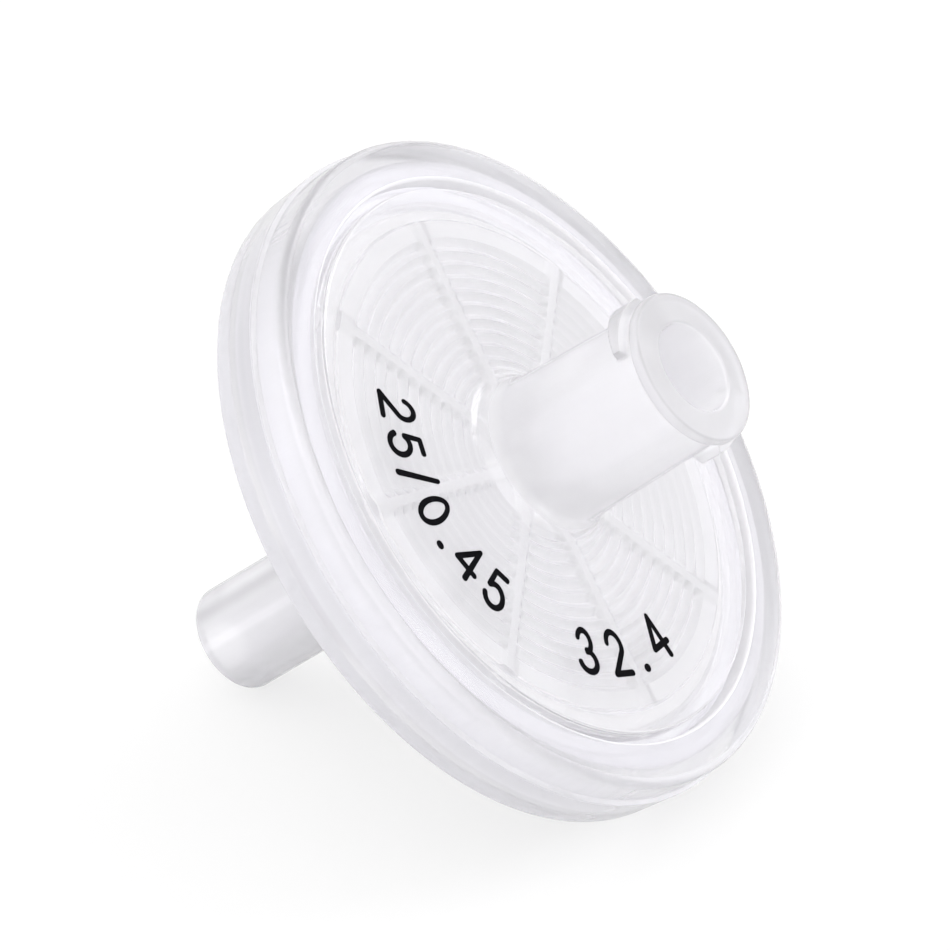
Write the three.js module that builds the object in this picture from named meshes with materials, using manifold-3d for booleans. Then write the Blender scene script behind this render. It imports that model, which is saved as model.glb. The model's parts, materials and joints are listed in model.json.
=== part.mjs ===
// Disc syringe filter: an inlet half with a threaded-lug socket, an outlet half with a plain
// spout, two filter discs held between them and a ring moulded round the joint.
// Millimetres, +Z up. The filter lies on a flat surface, on its rim and on the end of its spout.
// Each piece is modelled round the filter's own axis, local Z, with 0 at the ring's back face.

import * as THREE from 'three';
import { mergeVertices } from 'three/addons/utils/BufferGeometryUtils.js';
import Module from 'manifold-3d';

const wasm = await Module();
wasm.setup();

// Overall sizes
const RING_RADIUS = 16.2;
const RING_HEIGHT = 4.2;
const SOCKET_HEIGHT = 9.5; // above the front face
const SPOUT_LENGTH = 16; // below the back face

// Sealing ring
const RING_STEP = 0.2; // the front part of the side is this much smaller in radius
const RING_DRAFT = 0.2; // the back part narrows by this much towards the back face
const STEP_LEVEL = 2.5;
const STEP_RISE = 0.15;
const RING_WALL = 1.2;
const LIP_WIDTH = 1.1; // reaches in over each half's flange
const LIP_THICKNESS = 0.8;
const RING_BACK_ROUND = 0.35;
const RING_FRONT_ROUND = 0.4;
const LIP_ROUND = 0.15;

// Housing halves
const CLEARANCE = 0.1; // left between pieces that seat on each other
const FACE_GROOVE = 0.4; // open groove between a ring lip and a half's face
const FACE_ROUND = 0.2;
const OUTLET_PLATE = 1.0;
const FLANGE_SPLIT = 2.1; // level where the two flanges meet
const TONGUE_WIDTH = 0.5;
const TONGUE_DEPTH = 0.55;
const CHAMBER_WALL = 0.35; // from the chamber to the face groove

// Filter discs
const DISC_EDGE_GAP = 0.3;
const MEMBRANE_THICKNESS = 0.15;
const PREFILTER_THICKNESS = 0.5;

// Inlet socket, with a 6 % taper on the diameter
const SOCKET_RADIUS = 3.58; // at its base
const SOCKET_DRAFT = 0.16; // narrower by this much under its collar
const SOCKET_BORE = 4.3;
const SOCKET_TAPER = 0.06;
const SOCKET_FLOOR = 1.2; // left under the bore, above the front face
const SOCKET_MOUTH = 0.15;
const SOCKET_FILLET = 1.1;
const COLLAR_WIDTH = 0.24; // stands out from the socket's side
const COLLAR_HEIGHT = 0.45;
const COLLAR_ROUND = 0.2;
const FEED_HOLE = 2.2;
const LUG_REACH = 0.48; // from the socket's side, for 7.8 across both lugs
const LUG_SINK = 0.2; // the root lies inside the socket's wall
const LUG_HEIGHT = 1.15; // along the crest at the thick end
const LUG_FLANK = 0.35; // each flank spreads by this much towards the root
const LUG_DROP = 0.95; // from the socket's end face to the crest
const LUG_WIDTH = THREE.MathUtils.degToRad(62);
const LUG_ANGLE = THREE.MathUtils.degToRad(15);
const LUG_LEAD = 5; // rise of the lugs' thread in one turn

// Outlet spout
const SPOUT_RADIUS = 2.57;
const SPOUT_BORE = 2.2;
const SPOUT_DRAFT = 0.12; // the spout's bore radius grows by this much towards its tip
const SPOUT_ROUND = 0.35;
const SPOUT_FILLET = 0.9;

// Flow channels on the inside of each half
const RIDGE_START = 3.4;
const INLET_RIDGE_PITCH = 0.68;
const OUTLET_RIDGE_PITCH = 1.45;
const INLET_RIDGE_HEIGHT = 0.55;
const OUTLET_RIDGE_HEIGHT = 0.55;
const RIDGE_TOP = 0.5; // flat top of an outlet ridge
const RIDGE_SLOPE = 0.15; // width of an outlet ridge's sloping side
const EDGE_LAND = 0.7; // flat land that grips the discs' edges
const CHANNEL_COUNT = 8;
const CHANNEL_WIDTH = 0.8;
const CHANNEL_SINK = 0.15; // below the valleys between ridges
const CHANNEL_ANGLE = THREE.MathUtils.degToRad(26.5);

// Facets
const TURN_FACETS = 48;
const ROUND_FACETS = 3;
const LUG_FACETS = 6;

// Levels and radii that follow from the sizes above
const ringInner = RING_RADIUS - RING_WALL;
const lipInner = ringInner - LIP_WIDTH;
const faceRadius = lipInner - FACE_GROOVE;
const chamberRadius = faceRadius - CHAMBER_WALL;
const flangeRadius = ringInner - CLEARANCE;
const tongueRadius = (faceRadius + flangeRadius) / 2;
const discRadius = chamberRadius - DISC_EDGE_GAP;
const flangeBack = LIP_THICKNESS + CLEARANCE;
const flangeFront = RING_HEIGHT - LIP_THICKNESS - CLEARANCE;
const outletFloor = OUTLET_PLATE;
const outletRidgeTop = outletFloor + OUTLET_RIDGE_HEIGHT;
const membraneLevel = outletRidgeTop + CLEARANCE;
const prefilterLevel = membraneLevel + MEMBRANE_THICKNESS + CLEARANCE;
const inletRidgeTop = prefilterLevel + PREFILTER_THICKNESS + CLEARANCE;
const inletCeiling = inletRidgeTop + INLET_RIDGE_HEIGHT;
const inletFace = RING_HEIGHT;
const socketEnd = inletFace + SOCKET_HEIGHT;
const socketFloor = inletFace + SOCKET_FLOOR;
const socketNeck = SOCKET_RADIUS - SOCKET_DRAFT;
const collarRadius = socketNeck + COLLAR_WIDTH;
const collarLevel = socketEnd - COLLAR_HEIGHT;

const point = (radius, level) => new THREE.Vector2(radius, level);

// Points of a quarter round about a centre, from one angle to another in quarter turns.
function quarter(radius, level, size, from, to) {
  const points = [];
  for (let i = 0; i <= ROUND_FACETS; i += 1) {
    const angle = (from + ((to - from) * i) / ROUND_FACETS) * (Math.PI / 2);
    points.push(point(radius + size * Math.cos(angle), level + size * Math.sin(angle)));
  }
  return points;
}

// Full turn of a closed outline, with a flat facet towards +X for the piece to lie on.
function turned(outline) {
  const start = Math.PI / 2 + Math.PI / TURN_FACETS;
  const geometry = new THREE.LatheGeometry([...outline, outline[0]], TURN_FACETS, start);
  return geometry.rotateX(Math.PI / 2);
}

function toSolid(geometry) {
  geometry.deleteAttribute('normal');
  geometry.deleteAttribute('uv');
  const merged = mergeVertices(geometry, 1e-5);
  const vertProperties = Float32Array.from(merged.attributes.position.array);
  const triVerts = Uint32Array.from(merged.index.array);
  return new wasm.Manifold(new wasm.Mesh({ numProp: 3, vertProperties, triVerts }));
}

function toGeometry(solid) {
  const { vertProperties, triVerts } = solid.getMesh();
  const geometry = new THREE.BufferGeometry();
  geometry.setAttribute('position', new THREE.BufferAttribute(vertProperties, 3));
  geometry.setIndex(new THREE.BufferAttribute(triVerts, 1));
  geometry.computeVertexNormals();
  return geometry;
}

// Outer corners that the filter lies on.
const ringBackCorner = quarter(
  RING_RADIUS - RING_DRAFT - RING_BACK_ROUND, RING_BACK_ROUND, RING_BACK_ROUND, -1, 0);
const spoutTipCorner = quarter(
  SPOUT_RADIUS - SPOUT_ROUND, SPOUT_ROUND - SPOUT_LENGTH, SPOUT_ROUND, -1, 0);

// C-shaped ring: a wall with a lip over the edge of each half.
function sealingRing() {
  const frontRadius = RING_RADIUS - RING_STEP;
  return turned([
    point(lipInner + LIP_ROUND, 0),
    ...ringBackCorner,
    point(RING_RADIUS, STEP_LEVEL),
    point(frontRadius, STEP_LEVEL + STEP_RISE),
    ...quarter(frontRadius - RING_FRONT_ROUND, RING_HEIGHT - RING_FRONT_ROUND, RING_FRONT_ROUND, 0, 1),
    point(lipInner + LIP_ROUND, RING_HEIGHT),
    point(lipInner, RING_HEIGHT - LIP_ROUND),
    point(lipInner, RING_HEIGHT - LIP_THICKNESS),
    point(ringInner, RING_HEIGHT - LIP_THICKNESS),
    point(ringInner, LIP_THICKNESS),
    point(lipInner, LIP_THICKNESS),
    point(lipInner, LIP_ROUND),
  ]);
}

// Radii of the ridges' centre lines, from the first ridge out to the edge land.
function ridgeRadii(pitch) {
  const room = discRadius - EDGE_LAND - pitch - RIDGE_START;
  const count = Math.floor(room / pitch) + 1;
  return Array.from({ length: count }, (_, i) => RIDGE_START + i * pitch);
}

// Sharp ridges under the inlet half, listed from the first ridge out to the edge land.
function inletRidges() {
  const foot = INLET_RIDGE_PITCH / 2;
  const ridges = ridgeRadii(INLET_RIDGE_PITCH).flatMap((radius) => [
    point(radius, inletRidgeTop),
    point(radius + foot, inletCeiling),
  ]);
  return [point(RIDGE_START - foot, inletCeiling), ...ridges];
}

// Flat-topped ridges inside the outlet half, listed from the first ridge out to the edge land.
function outletRidges() {
  const top = RIDGE_TOP / 2;
  const foot = top + RIDGE_SLOPE;
  return ridgeRadii(OUTLET_RIDGE_PITCH).flatMap((radius) => [
    point(radius - foot, outletFloor),
    point(radius - top, outletRidgeTop),
    point(radius + top, outletRidgeTop),
    point(radius + foot, outletFloor),
  ]);
}

// Bars that cut the radial channels through the ridges, from one level to another.
function channelBars(fromLevel, toLevel, holeRadius) {
  const outerEnd = discRadius - EDGE_LAND;
  const innerEnd = holeRadius / 2;
  const length = outerEnd - innerEnd;
  const bars = [];
  for (let i = 0; i < CHANNEL_COUNT; i += 1) {
    const bar = new THREE.BoxGeometry(length, CHANNEL_WIDTH, toLevel - fromLevel);
    bar.translate(innerEnd + length / 2, 0, (fromLevel + toLevel) / 2);
    bar.rotateZ(CHANNEL_ANGLE + (i * 2 * Math.PI) / CHANNEL_COUNT);
    bars.push(toSolid(bar));
  }
  return bars;
}

// One lug of the socket's double thread: a block bent round the socket, with sloping flanks
// and an underside that rises along the thread.
function socketLug(angle) {
  const root = socketNeck - LUG_SINK;
  const reach = LUG_SINK + LUG_REACH;
  const lug = new THREE.BoxGeometry(1, LUG_WIDTH, LUG_HEIGHT, 1, LUG_FACETS, 1);
  lug.translate(0.5, LUG_WIDTH / 2, 0);
  const position = lug.attributes.position;
  for (let i = 0; i < position.count; i += 1) {
    const swept = position.getY(i);
    const radius = root + reach * position.getX(i);
    const spread = LUG_FLANK * (1 - position.getX(i));
    const underside = (LUG_LEAD * swept) / (2 * Math.PI) - spread;
    const level = position.getZ(i) > 0 ? LUG_HEIGHT + spread : underside;
    position.setXYZ(i, radius * Math.cos(swept), radius * Math.sin(swept), level);
  }
  lug.translate(0, 0, socketEnd - LUG_DROP - LUG_HEIGHT);
  return toSolid(lug.rotateZ(angle - LUG_WIDTH / 2));
}

function inletHousing() {
  const boreMouth = SOCKET_BORE / 2;
  const boreEnd = boreMouth - (SOCKET_TAPER / 2) * (socketEnd - socketFloor);
  const hole = FEED_HOLE / 2;
  const tongueIn = tongueRadius - TONGUE_WIDTH / 2;
  const tongueOut = tongueRadius + TONGUE_WIDTH / 2;
  const split = FLANGE_SPLIT + CLEARANCE / 2;
  const body = toSolid(turned([
    point(boreMouth + SOCKET_MOUTH, socketEnd),
    point(boreMouth, socketEnd - SOCKET_MOUTH),
    point(boreEnd, socketFloor),
    point(hole, socketFloor - (boreEnd - hole)),
    point(hole, inletCeiling),
    ...inletRidges(),
    point(discRadius - EDGE_LAND, inletCeiling),
    point(discRadius - EDGE_LAND, inletRidgeTop),
    point(chamberRadius, inletRidgeTop),
    point(chamberRadius, split),
    point(tongueIn, split),
    point(tongueIn, split - TONGUE_DEPTH),
    point(tongueOut, split - TONGUE_DEPTH),
    point(tongueOut, split),
    point(flangeRadius, split),
    point(flangeRadius, flangeFront),
    point(faceRadius, flangeFront),
    ...quarter(faceRadius - FACE_ROUND, inletFace - FACE_ROUND, FACE_ROUND, 0, 1),
    ...quarter(SOCKET_RADIUS + SOCKET_FILLET, inletFace + SOCKET_FILLET, SOCKET_FILLET, 3, 2),
    point(socketNeck, collarLevel - COLLAR_WIDTH),
    point(collarRadius, collarLevel),
    ...quarter(collarRadius - COLLAR_ROUND, socketEnd - COLLAR_ROUND, COLLAR_ROUND, 0, 1),
  ]));
  const bars = channelBars(inletRidgeTop - CLEARANCE, inletCeiling + CHANNEL_SINK, hole);
  const lugs = [socketLug(LUG_ANGLE), socketLug(LUG_ANGLE + Math.PI)];
  const cut = bars.reduce((solid, bar) => solid.subtract(bar), body);
  return toGeometry(lugs.reduce((solid, lug) => solid.add(lug), cut));
}

function outletHousing() {
  const hole = SPOUT_BORE / 2;
  const grooveIn = tongueRadius - TONGUE_WIDTH / 2 - CLEARANCE;
  const grooveOut = tongueRadius + TONGUE_WIDTH / 2 + CLEARANCE;
  const split = FLANGE_SPLIT - CLEARANCE / 2;
  const grooveFloor = split - TONGUE_DEPTH;
  const body = toSolid(turned([
    point(hole, outletFloor),
    point(hole + SPOUT_DRAFT, -SPOUT_LENGTH),
    ...spoutTipCorner,
    ...quarter(SPOUT_RADIUS + SPOUT_FILLET, -SPOUT_FILLET, SPOUT_FILLET, 2, 1),
    ...quarter(faceRadius - FACE_ROUND, FACE_ROUND, FACE_ROUND, -1, 0),
    point(faceRadius, flangeBack),
    point(flangeRadius, flangeBack),
    point(flangeRadius, split),
    point(grooveOut, split),
    point(grooveOut, grooveFloor),
    point(grooveIn, grooveFloor),
    point(grooveIn, split),
    point(chamberRadius, split),
    point(chamberRadius, outletRidgeTop),
    point(discRadius - EDGE_LAND, outletRidgeTop),
    point(discRadius - EDGE_LAND, outletFloor),
    ...outletRidges().reverse(),
  ]));
  const bars = channelBars(outletFloor - CHANNEL_SINK, outletRidgeTop + CLEARANCE, hole);
  return toGeometry(bars.reduce((solid, bar) => solid.subtract(bar), body));
}

function filterDisc(level, thickness) {
  const disc = new THREE.CylinderGeometry(discRadius, discRadius, thickness, TURN_FACETS);
  return disc.rotateX(Math.PI / 2).translate(0, 0, level + thickness / 2);
}

// Steepest line that passes under both corners, as a slope of radius against length.
function restSlope() {
  const slope = (rim, tip) => (rim.x - tip.x) / (rim.y - tip.y);
  const steepest = (tip) => Math.max(...ringBackCorner.map((rim) => slope(rim, tip)));
  return Math.min(...spoutTipCorner.map(steepest)) * Math.cos(Math.PI / TURN_FACETS);
}

function piece(name, geometry, colour, roughness) {
  const material = new THREE.MeshStandardMaterial({ color: colour, roughness, metalness: 0 });
  const mesh = new THREE.Mesh(geometry, material);
  mesh.name = name;
  return mesh;
}

const filter = new THREE.Group();
filter.add(
  piece('inlet_housing', inletHousing(), 0xe6e6ec, 0.3),
  piece('outlet_housing', outletHousing(), 0xe2e2e8, 0.3),
  piece('sealing_ring', sealingRing(), 0xdcdce4, 0.35),
  piece('glass_fibre_prefilter', filterDisc(prefilterLevel, PREFILTER_THICKNESS), 0xf4f3ee, 0.95),
  piece('membrane', filterDisc(membraneLevel, MEMBRANE_THICKNESS), 0xfafafa, 0.7),
);

// Lean the filter onto its rim and spout, then set it down centred on the origin.
filter.rotation.y = Math.PI / 2 - Math.atan(restSlope());
filter.updateMatrixWorld(true);
const box = new THREE.Box3().setFromObject(filter, true);
const centre = box.getCenter(new THREE.Vector3());
filter.position.set(-centre.x, -centre.y, -box.min.z);

const part = new THREE.Group();
part.add(filter);

export default part;
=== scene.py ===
"""Disc syringe filter lying on its rim and spout: two moulded halves, the ring moulded round
their joint, the two filter discs between them and the figures printed on the inlet face."""

import json
import math
from functools import partial

import bmesh
import bpy
import numpy as np
from bpy.props import FloatProperty, FloatVectorProperty, IntProperty, PointerProperty
from mathutils import Matrix, Vector


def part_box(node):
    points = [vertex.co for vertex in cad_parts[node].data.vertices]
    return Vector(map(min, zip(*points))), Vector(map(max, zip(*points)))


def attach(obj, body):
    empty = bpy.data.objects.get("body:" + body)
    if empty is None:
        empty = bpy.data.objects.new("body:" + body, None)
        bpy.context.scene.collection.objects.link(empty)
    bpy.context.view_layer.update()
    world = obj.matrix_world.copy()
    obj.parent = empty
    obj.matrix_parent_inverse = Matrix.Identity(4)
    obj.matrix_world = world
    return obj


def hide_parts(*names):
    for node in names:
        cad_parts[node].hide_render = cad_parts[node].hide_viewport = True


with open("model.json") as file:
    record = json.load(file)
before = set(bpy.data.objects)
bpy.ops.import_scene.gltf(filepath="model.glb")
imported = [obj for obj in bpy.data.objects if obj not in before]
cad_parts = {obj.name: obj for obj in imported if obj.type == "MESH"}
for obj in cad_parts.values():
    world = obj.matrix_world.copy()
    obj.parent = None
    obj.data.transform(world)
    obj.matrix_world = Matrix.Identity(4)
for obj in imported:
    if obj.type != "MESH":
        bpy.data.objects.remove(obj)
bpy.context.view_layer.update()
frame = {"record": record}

bl_info = {
    "name": "Disc Filter",
    "version": (1, 0, 0),
    "blender": (4, 5, 0),
    "location": "3D View > Sidebar > Filter",
    "description": "Builds a disc syringe filter round its CAD frame, with its studio",
    "category": "Add Mesh",
}

MM = 0.001


def stated(kind, convert=None, **fixed):
    """A way to state properties of one kind, each by its value and description."""
    def state(value, description):
        return partial(kind, default=convert(value) if convert else value,
                       description=description, **fixed)
    return state


# Lengths are stated in millimetres and kept in metres. Angles are stated in degrees.
length = stated(FloatProperty, lambda size: size * MM, min=0, unit="LENGTH",
                subtype="DISTANCE", precision=5)
angle = stated(FloatProperty, math.radians, unit="ROTATION", subtype="ANGLE")
share = stated(FloatProperty, min=0, max=1, subtype="FACTOR")
amount = stated(FloatProperty, min=0)
watts = stated(FloatProperty, min=0, unit="POWER")
focal_length = stated(FloatProperty, min=0, unit="CAMERA")
number = stated(IntProperty, min=1)
colour = stated(FloatVectorProperty, size=3, min=0, max=1, subtype="COLOR")


def named(group):
    """Makes a group's properties, and names each after its identifier."""
    for key, make in group.__annotations__.items():
        group.__annotations__[key] = make(name=key.replace("_", " ").capitalize())
    return group


# Sizes and colours

@named
class FilterRing(bpy.types.PropertyGroup):
    radius: length(16.2, "Widest radius of the sealing ring")
    height: length(4.2, "From the back face to the front face")
    draft: length(0.2, "Narrowing towards the back")
    step: length(0.2, "Step in to the front part")
    step_level: length(2.5, "Height of the step over the back face")
    step_rise: length(0.15, "Height that the step takes")
    wall: length(1.2, "Wall round the flanges")
    lip_width: length(1.1, "Reach of each lip over a flange")
    lip_thickness: length(0.8, "Thickness of each lip")
    back_round: length(0.15, "Rounding of the outer back edge")
    front_round: length(0.4, "Rounding of the outer front edge")
    lip_round: length(0.15, "Rounding of the lips' inner edges")
    grain: length(0.008, "Depth of the fine lines down the front band")


@named
class FilterHousing(bpy.types.PropertyGroup):
    face_radius: length(13.5, "Outer radius of the raised faces")
    face_round: length(0.2, "Rounding of the faces' edges")
    flange_radius: length(14.9, "Outer radius of both flanges")
    flange_back: length(0.9, "Back of the outlet flange")
    flange_front: length(3.3, "Front of the inlet flange")
    split: length(2.1, "Level where the flanges meet")
    clearance: length(0.1, "Gap between seated pieces")
    tongue_radius: length(14.2, "Middle of the tongue between the flanges")
    tongue_width: length(0.5, "Width of the tongue")
    tongue_depth: length(0.55, "Depth of the tongue")
    chamber_radius: length(13.15, "Wall of the filter chamber")
    land_radius: length(12.15, "Inner edge of the land that grips the discs")
    outlet_floor: length(1.0, "Floor of the outlet half's channels")
    outlet_ridge_top: length(1.55, "Top of the outlet half's ridges")
    inlet_ridge_top: length(2.5, "Crest of the inlet half's ridges")
    inlet_ceiling: length(3.05, "Valleys between the inlet half's ridges")
    ridge_start: length(3.4, "Radius of the innermost ridge")
    inlet_pitch: length(0.68, "Distance between the inlet half's ridges")
    outlet_pitch: length(1.45, "Distance between the outlet half's ridges")
    ridge_flat: length(0.5, "Flat top of an outlet ridge")
    ridge_slope: length(0.15, "Width of an outlet ridge's sloping side")
    channels: number(8, "Radial channels through the ridges")
    channel_width: length(0.8, "Width of a radial channel")
    channel_sink: length(0.15, "Depth of a channel below the valleys")
    channel_slope: length(0.4, "Width of a channel's sloping side")
    channel_angle: angle(26.5, "Turn of the first channel")


@named
class FilterSocket(bpy.types.PropertyGroup):
    height: length(9.5, "End of the socket over the front face")
    radius: length(3.58, "Radius at the socket's base")
    draft: length(0.16, "Narrowing up to the collar")
    bore: length(4.3, "Mouth of the tapered bore")
    taper: share(0.06, "Taper of the bore on its diameter")
    floor: length(1.2, "Plastic left under the bore, over the front face")
    mouth: length(0.15, "Rounding of the bore's mouth")
    fillet: length(1.1, "Fillet between the socket and the face")
    hole: length(2.2, "Hole that feeds the chamber")
    collar_width: length(0.24, "The collar stands out by this much")
    collar_height: length(0.45, "Height of the collar")
    collar_round: length(0.2, "Rounding of the collar's edge")
    lug_reach: length(0.48, "Reach of the lugs from the socket's side")
    lug_height: length(1.15, "A lug's crest at its thick end")
    lug_flank: length(0.35, "Spread of a lug's flanks towards its root")
    lug_drop: length(0.95, "From the socket's end to the lugs' crests")
    lug_width: angle(62, "Angle that a lug takes")
    lug_angle: angle(15, "Turn of the first lug")
    lug_lead: length(5, "Rise of the lugs' thread in one turn")


@named
class FilterSpout(bpy.types.PropertyGroup):
    length: length(16, "From the back face to the spout's tip")
    radius: length(2.57, "Outer radius of the spout")
    bore: length(2.2, "Bore at the chamber")
    draft: length(0.12, "The bore's radius grows by this much")
    tip_round: length(0.35, "Rounding of the tip")
    fillet: length(0.9, "Fillet between the spout and the face")


@named
class FilterDiscs(bpy.types.PropertyGroup):
    radius: length(12.85, "Radius of both filter discs")
    membrane_level: length(1.65, "Back of the membrane")
    membrane_thickness: length(0.15, "Thickness of the membrane")
    prefilter_level: length(1.9, "Back of the glass fibre disc")
    prefilter_thickness: length(0.5, "Thickness of the glass fibre")
    sag: length(0.02, "Unevenness of the discs' faces")


@named
class FilterPrint(bpy.types.PropertyGroup):
    height: length(2.3, "Height of a figure")
    stroke: length(0.32, "Width of a stroke")
    film: length(0.016, "Thickness of the ink")
    long_radius: length(10.35, "Base line of the long run")
    long_start: angle(-137.5, "Where the long run starts")
    long_end: angle(-70.5, "Where the long run ends")
    short_radius: length(10.75, "Base line of the short run")
    short_start: angle(-43, "Where the short run starts")
    short_end: angle(-3, "Where the short run ends")


@named
class FilterFinish(bpy.types.PropertyGroup):
    plastic: colour((0.98, 0.975, 0.99), "Colour of the inlet half")
    ring: colour((0.87, 0.865, 0.885), "Colour of the sealing ring")
    spout: colour((0.93, 0.925, 0.945), "Colour of the outlet half")
    clearness: share(0.76, "How much of the light the inlet half lets through")
    socket_clearness: share(0.58, "The same for the milky socket")
    ring_clearness: share(0.76, "The same for the sealing ring")
    back_clearness: share(0.6, "The same for the ring's back band")
    front_clearness: share(0.66, "The same for its front band")
    groove_clearness: share(0.4, "The same for the joint groove's wall")
    spout_clearness: share(0.5, "The same for the outlet half")
    haze: share(0.5, "The same for the ridged sides")
    fibre: colour((0.97, 0.97, 0.96), "Colour of the glass fibre disc")
    groove: colour((0.86, 0.855, 0.87), "Colour of the joint groove's wall")
    front: colour((0.89, 0.885, 0.905), "Colour of the ring's front band")
    film: colour((0.95, 0.95, 0.95), "Colour of the membrane")
    ink: colour((0.003, 0.003, 0.004), "Colour of the print")


@named
class FilterStudio(bpy.types.PropertyGroup):
    distance: length(289.4, "From the camera to the point it looks at")
    azimuth: angle(-66.66, "Turn of the camera from +X")
    elevation: angle(28.49, "Rise of the camera over the floor")
    look_level: share(0.888, "Level of that point on the axis, as a share of the ring")
    aside: length(2.63, "The view's centre lies this far left of that point")
    below: length(0.6, "The view's centre lies this far below that point")
    lens: focal_length(244.5, "Focal length on a 36 mm sensor")
    floor: colour((0.8, 0.8, 0.8), "Colour of the floor")
    floor_seen: colour((0.28, 0.28, 0.275), "The floor's colour where the camera sees it")
    floor_glow: share(0.63, "White that it adds there")
    outline: share(0.06, "White that plastic reflects is weaker by this much")
    dome: amount(1.33, "Brightness of the dome that lights the filter")
    dome_lean: amount(0.45, "It is brighter by this much on the camera's side")
    dome_tint: colour((0.99, 0.985, 1.0), "Colour of the dome")
    key_width: length(750, "Width of the wide lamp")
    key_power: watts(0.55, "Power of the wide lamp")
    fill_width: length(250, "Width of the small lamp")
    fill_power: watts(0.7, "Power of the small lamp")


def settings(*names):
    """The scene's property groups of these names."""
    return [getattr(bpy.context.scene, "filter_" + name) for name in names]


# Meshes

# Tags of section points: each picks one of its piece's materials
PLAIN, RIDGED, BARREL = 0, 1, 2
BACK_BAND, GROOVE, FRONT_BAND = 1, 2, 3
EDGE = 0.08 * MM     # rounding of the halves' small edges
RIDGE_STEPS = 8      # section points across one sharp ridge
CREASE = 35          # degrees between faces that meet in a sharp edge


def arc(radius, level, size, start, end, steps):
    """Points of an arc in a half section, from one angle to another in quarter turns."""
    turns = np.linspace(start, end, steps + 1) * (math.pi / 2)
    return [(radius + size * math.cos(t), level + size * math.sin(t)) for t in turns]


def corner(radius, level, size, start, end, steps=3):
    """Rounds the corner at radius and level. The angles say which way the arc faces, and so
    on which side of the corner its centre lies."""
    facing = (start + end) * math.pi / 4
    return arc(radius - math.copysign(size, math.cos(facing)),
               level - math.copysign(size, math.sin(facing)), size, start, end, steps)


def tagged(points, tag):
    return [(radius, level, tag) for radius, level in points]


def between(start, end, steps):
    """Even points from one point of a half section to another, both included."""
    return [tuple(p) for p in np.linspace(start, end, steps + 1)]


def smooth(low, high, value):
    """0 below low and 1 above high, with a smooth rise between them."""
    t = np.clip((value - low) / (high - low), 0, 1)
    return t * t * (3 - 2 * t)


def placement():
    """Where the filter's own frame lies: its axis and back face, in the row frame."""
    mounts = {mount["name"]: mount for mount in frame["record"]["mounts"]}
    axis = Vector(mounts["inlet_end"]["axis"]).normalized()
    sizes, = settings("discs")
    low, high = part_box("membrane")
    back = (low + high) / 2 - axis * (sizes.membrane_level + sizes.membrane_thickness / 2)
    level = Vector((0, 1, 0))
    side = level.cross(axis)
    turn = Matrix((side, level, axis)).transposed().to_4x4()
    return Matrix.Translation(back) @ turn


def add_object(name, data):
    made = bpy.data.objects.new(name, data)
    bpy.context.scene.collection.objects.link(made)
    return made


def make_piece(name, points, faces, crease=CREASE, kinds=None):
    """An object of a closed mesh of four-sided faces, in the filter's own frame. kinds says
    which of the piece's materials each face takes."""
    a, b, c, d = (points[faces[:, i]] for i in range(4))
    if np.einsum("ij,ij->", a, np.cross(b - d, c)) < 0:      # six times its volume
        faces = faces[:, ::-1]
    mesh = bpy.data.meshes.new(name)
    mesh.from_pydata(points.tolist(), [], faces.tolist())
    if kinds is not None:
        mesh.polygons.foreach_set("material_index", kinds.astype(np.int32).ravel())
    mesh.transform(placement())
    mesh.validate()
    mesh.shade_smooth()
    mesh.set_sharp_from_angle(angle=math.radians(crease))
    return add_object(name, mesh)


def turned(name, section, relief, turns, crease=CREASE):
    """A closed half section turned about the axis. relief(radius, level, angle, tag) moves
    the points: it gets their grids and the section points' tags."""
    section = [point if len(point) == 3 else (*point, PLAIN) for point in section]
    outline = np.array([section[0]] + [b for a, b in zip(section, section[1:])
                                       if math.dist(a[:2], b[:2]) > 1e-7])
    count = len(outline)
    swept = np.arange(turns) * (math.tau / turns)
    radius, around = np.meshgrid(outline[:, 0], swept, indexing="ij")
    height = np.repeat(outline[:, 1:2], turns, axis=1)
    tag = np.repeat(outline[:, 2:3], turns, axis=1)
    radius, height = relief(radius, height, around, tag)
    points = np.stack([radius * np.cos(around), radius * np.sin(around), height], axis=-1)
    i, j = np.meshgrid(np.arange(count), np.arange(turns), indexing="ij")
    k, m = (i + 1) % count, (j + 1) % turns
    faces = np.stack([i * turns + j, k * turns + j, k * turns + m, i * turns + m], axis=-1)
    kinds = np.where(tag == np.roll(tag, -1, axis=0), tag, PLAIN)
    return make_piece(name, points.reshape(-1, 3), faces.reshape(-1, 4), crease, kinds)


def channel_share(sizes, radius, around):
    """1 on the middle line of a radial channel and 0 between the channels."""
    spacing = math.tau / sizes.channels
    off = (around - sizes.channel_angle + spacing / 2) % spacing - spacing / 2
    aside = np.abs(radius * np.sin(off))
    half, soft = sizes.channel_width / 2, sizes.channel_slope / 2
    return 1 - smooth(half - soft, half + soft, aside)


def ridge_count(sizes, pitch):
    return int((sizes.land_radius - pitch - sizes.ridge_start) / pitch) + 1


def sharp_ridges(sizes, radius):
    """Height share of the inlet half's ridges, with softly rounded crests and valleys."""
    phase = (radius - sizes.ridge_start) / sizes.inlet_pitch
    softness = 0.35      # share of the round wave
    wave = 0.5 + 0.5 * np.cos(math.tau * phase)
    crest = 1 - 2 * np.abs(phase - np.round(phase))
    inside = (phase > -0.5) & (phase < ridge_count(sizes, sizes.inlet_pitch) - 0.5)
    return np.where(inside, softness * wave + (1 - softness) * crest, 0)


def flat_ridges(sizes, radius):
    """Height share of the outlet half's flat-topped ridges."""
    pitch = sizes.outlet_pitch
    last = ridge_count(sizes, pitch) - 1
    nearest = np.clip(np.round((radius - sizes.ridge_start) / pitch), 0, last)
    off = np.abs(radius - sizes.ridge_start - nearest * pitch)
    top = sizes.ridge_flat / 2
    return 1 - smooth(top, top + sizes.ridge_slope, off)


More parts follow.
